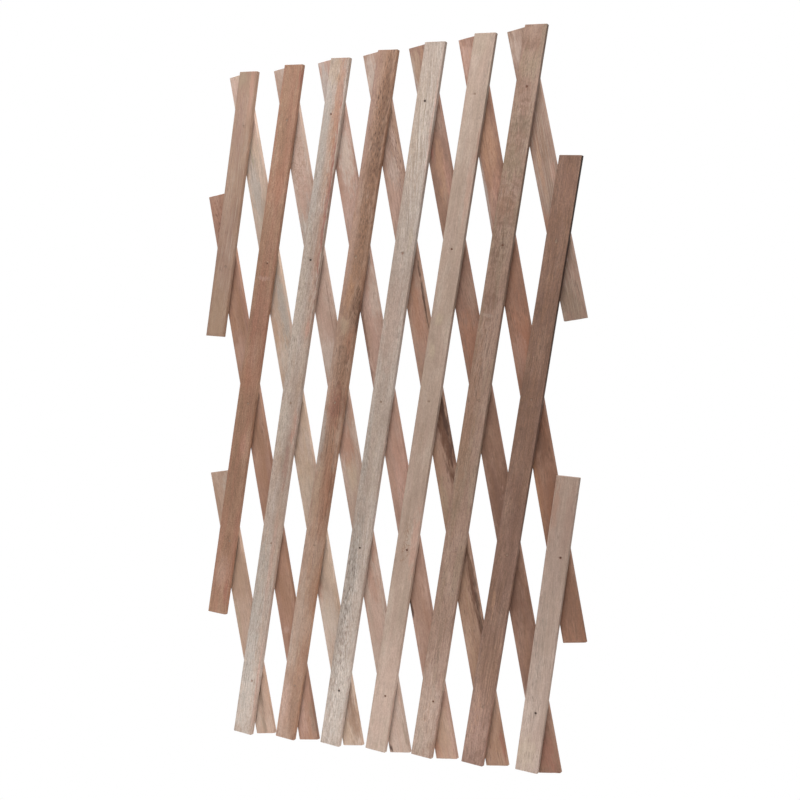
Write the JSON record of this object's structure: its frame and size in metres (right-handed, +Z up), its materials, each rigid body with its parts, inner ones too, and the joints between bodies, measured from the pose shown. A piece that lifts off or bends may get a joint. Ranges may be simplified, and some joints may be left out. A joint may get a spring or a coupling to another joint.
{
  "type": "expanding trellis",
  "caption": "Expanding garden lattice of flat wooden slats in crossed layers, hinged on small nails so that it opens and closes like scissors.",
  "frame": {"origin": "on the back face of the middle back slat, halfway between its middle nail and the next one up, where a screw holds the trellis to a wall", "axes": "+Z up along the closed lattice, +X to the right seen from the front, the front faces -Y and the back plane is Y = 0"},
  "size_m": [0.4982, 0.0135, 0.8206],
  "materials": {
    "wood_tan": "bare sawn hardwood, matt, weathered grain",
    "wood_brown": "bare sawn hardwood, matt, weathered grain",
    "wood_grey": "bare sawn hardwood, matt, weathered grain",
    "wood_pale": "bare sawn hardwood, matt, weathered grain",
    "wood_dark": "bare sawn hardwood, matt, weathered grain",
    "wood_orange": "bare sawn hardwood, matt, weathered grain",
    "wood_pink": "bare sawn hardwood, matt, weathered grain",
    "nail_steel": "dull dark steel"
  },
  "bodies": {
    "front_slat_1": {"front_slat_1": "wood_tan", "nail_f1_b2": "nail_steel", "nail_f1_b3": "nail_steel"},
    "front_slat_2": {"front_slat_2": "wood_brown", "nail_f2_b1": "nail_steel", "nail_f2_b2": "nail_steel", "nail_f2_b3": "nail_steel", "nail_f2_b4": "nail_steel"},
    "front_slat_3": {"front_slat_3": "wood_grey", "nail_f3_b1": "nail_steel", "nail_f3_b2": "nail_steel", "nail_f3_b3": "nail_steel", "nail_f3_b4": "nail_steel", "nail_f3_b5": "nail_steel"},
    "front_slat_4": {"front_slat_4": "wood_brown", "nail_f4_b2": "nail_steel", "nail_f4_b3": "nail_steel", "nail_f4_b4": "nail_steel", "nail_f4_b5": "nail_steel", "nail_f4_b6": "nail_steel"},
    "front_slat_5": {"front_slat_5": "wood_grey", "nail_f5_b3": "nail_steel", "nail_f5_b4": "nail_steel", "nail_f5_b5": "nail_steel", "nail_f5_b6": "nail_steel", "nail_f5_b7": "nail_steel"},
    "front_slat_6": {"front_slat_6": "wood_pale", "nail_f6_b4": "nail_steel", "nail_f6_b5": "nail_steel", "nail_f6_b6": "nail_steel", "nail_f6_b7": "nail_steel", "nail_f6_b8": "nail_steel"},
    "front_slat_7": {"front_slat_7": "wood_brown", "nail_f7_b5": "nail_steel", "nail_f7_b6": "nail_steel", "nail_f7_b7": "nail_steel", "nail_f7_b8": "nail_steel", "nail_f7_b9": "nail_steel"},
    "front_slat_8": {"front_slat_8": "wood_dark", "nail_f8_b6": "nail_steel", "nail_f8_b7": "nail_steel", "nail_f8_b8": "nail_steel", "nail_f8_b9": "nail_steel"},
    "front_slat_9": {"front_slat_9": "wood_pale", "nail_f9_b7": "nail_steel", "nail_f9_b8": "nail_steel"},
    "back_slat_1": {"back_slat_1": "wood_tan"},
    "back_slat_2": {"back_slat_2": "wood_orange"},
    "back_slat_3": {"back_slat_3": "wood_pale"},
    "back_slat_4": {"back_slat_4": "wood_pink"},
    "back_slat_5": {"back_slat_5": "wood_pink"},
    "back_slat_6": {"back_slat_6": "wood_pink"},
    "back_slat_7": {"back_slat_7": "wood_orange"},
    "back_slat_8": {"back_slat_8": "wood_orange"},
    "back_slat_9": {"back_slat_9": "wood_tan"}
  },
  "joints": [
    {"name": "spread", "type": "hinge", "parent": "back_slat_5", "child": "front_slat_5", "pos_m": [0.01548, -0.00675, -0.08561], "axis": [0, 1, 0], "range_deg": [-9.5, 69.5]},
    {"name": "turn_f4_b5", "type": "hinge", "parent": "back_slat_5", "child": "front_slat_4", "pos_m": [-0.01548, -0.00675, 0.08561], "axis": [0, 1, 0], "range_deg": [-9.5, 69.5]},
    {"name": "turn_f6_b5", "type": "hinge", "parent": "back_slat_5", "child": "front_slat_6", "pos_m": [0.04644, -0.00675, -0.25683], "axis": [0, 1, 0], "range_deg": [-9.5, 69.5]},
    {"name": "turn_f3_b5", "type": "hinge", "parent": "back_slat_5", "child": "front_slat_3", "pos_m": [-0.04644, -0.00675, 0.25683], "axis": [0, 1, 0], "range_deg": [-9.5, 69.5]},
    {"name": "turn_f7_b5", "type": "hinge", "parent": "back_slat_5", "child": "front_slat_7", "pos_m": [0.07741, -0.00675, -0.42806], "axis": [0, 1, 0], "range_deg": [-9.5, 69.5]},
    {"name": "turn_f6_b4", "type": "hinge", "parent": "front_slat_6", "child": "back_slat_4", "pos_m": [0.01548, -0.00675, -0.42806], "axis": [0, 1, 0], "range_deg": [-69.5, 9.5]},
    {"name": "turn_f5_b3", "type": "hinge", "parent": "front_slat_5", "child": "back_slat_3", "pos_m": [-0.04644, -0.00675, -0.42806], "axis": [0, 1, 0], "range_deg": [-69.5, 9.5]},
    {"name": "turn_f4_b2", "type": "hinge", "parent": "front_slat_4", "child": "back_slat_2", "pos_m": [-0.10837, -0.00675, -0.42806], "axis": [0, 1, 0], "range_deg": [-69.5, 9.5]},
    {"name": "turn_f3_b1", "type": "hinge", "parent": "front_slat_3", "child": "back_slat_1", "pos_m": [-0.17029, -0.00675, -0.42806], "axis": [0, 1, 0], "range_deg": [-69.5, 9.5]},
    {"name": "turn_f4_b6", "type": "hinge", "parent": "front_slat_4", "child": "back_slat_6", "pos_m": [0.01548, -0.00675, 0.25683], "axis": [0, 1, 0], "range_deg": [-69.5, 9.5]},
    {"name": "turn_f5_b7", "type": "hinge", "parent": "front_slat_5", "child": "back_slat_7", "pos_m": [0.07741, -0.00675, 0.25683], "axis": [0, 1, 0], "range_deg": [-69.5, 9.5]},
    {"name": "turn_f6_b8", "type": "hinge", "parent": "front_slat_6", "child": "back_slat_8", "pos_m": [0.13933, -0.00675, 0.25683], "axis": [0, 1, 0], "range_deg": [-69.5, 9.5]},
    {"name": "turn_f7_b9", "type": "hinge", "parent": "front_slat_7", "child": "back_slat_9", "pos_m": [0.20125, -0.00675, 0.25683], "axis": [0, 1, 0], "range_deg": [-69.5, 9.5]},
    {"name": "turn_f2_b4", "type": "hinge", "parent": "back_slat_4", "child": "front_slat_2", "pos_m": [-0.10837, -0.00675, 0.25683], "axis": [0, 1, 0], "range_deg": [-9.5, 69.5]},
    {"name": "turn_f1_b3", "type": "hinge", "parent": "back_slat_3", "child": "front_slat_1", "pos_m": [-0.17029, -0.00675, 0.25683], "axis": [0, 1, 0], "range_deg": [-9.5, 69.5]},
    {"name": "turn_f8_b6", "type": "hinge", "parent": "back_slat_6", "child": "front_slat_8", "pos_m": [0.13933, -0.00675, -0.42806], "axis": [0, 1, 0], "range_deg": [-9.5, 69.5]},
    {"name": "turn_f9_b7", "type": "hinge", "parent": "back_slat_7", "child": "front_slat_9", "pos_m": [0.20125, -0.00675, -0.42806], "axis": [0, 1, 0], "range_deg": [-9.5, 69.5]}
  ],
  "couplings": [
    {"joint": "turn_f4_b5", "follows": "spread", "ratio": 1},
    {"joint": "turn_f6_b5", "follows": "spread", "ratio": 1},
    {"joint": "turn_f3_b5", "follows": "spread", "ratio": 1},
    {"joint": "turn_f7_b5", "follows": "spread", "ratio": 1},
    {"joint": "turn_f6_b4", "follows": "spread", "ratio": -1},
    {"joint": "turn_f5_b3", "follows": "spread", "ratio": -1},
    {"joint": "turn_f4_b2", "follows": "spread", "ratio": -1},
    {"joint": "turn_f3_b1", "follows": "spread", "ratio": -1},
    {"joint": "turn_f4_b6", "follows": "spread", "ratio": -1},
    {"joint": "turn_f5_b7", "follows": "spread", "ratio": -1},
    {"joint": "turn_f6_b8", "follows": "spread", "ratio": -1},
    {"joint": "turn_f7_b9", "follows": "spread", "ratio": -1},
    {"joint": "turn_f2_b4", "follows": "spread", "ratio": 1},
    {"joint": "turn_f1_b3", "follows": "spread", "ratio": 1},
    {"joint": "turn_f8_b6", "follows": "spread", "ratio": 1},
    {"joint": "turn_f9_b7", "follows": "spread", "ratio": 1}
  ]
}
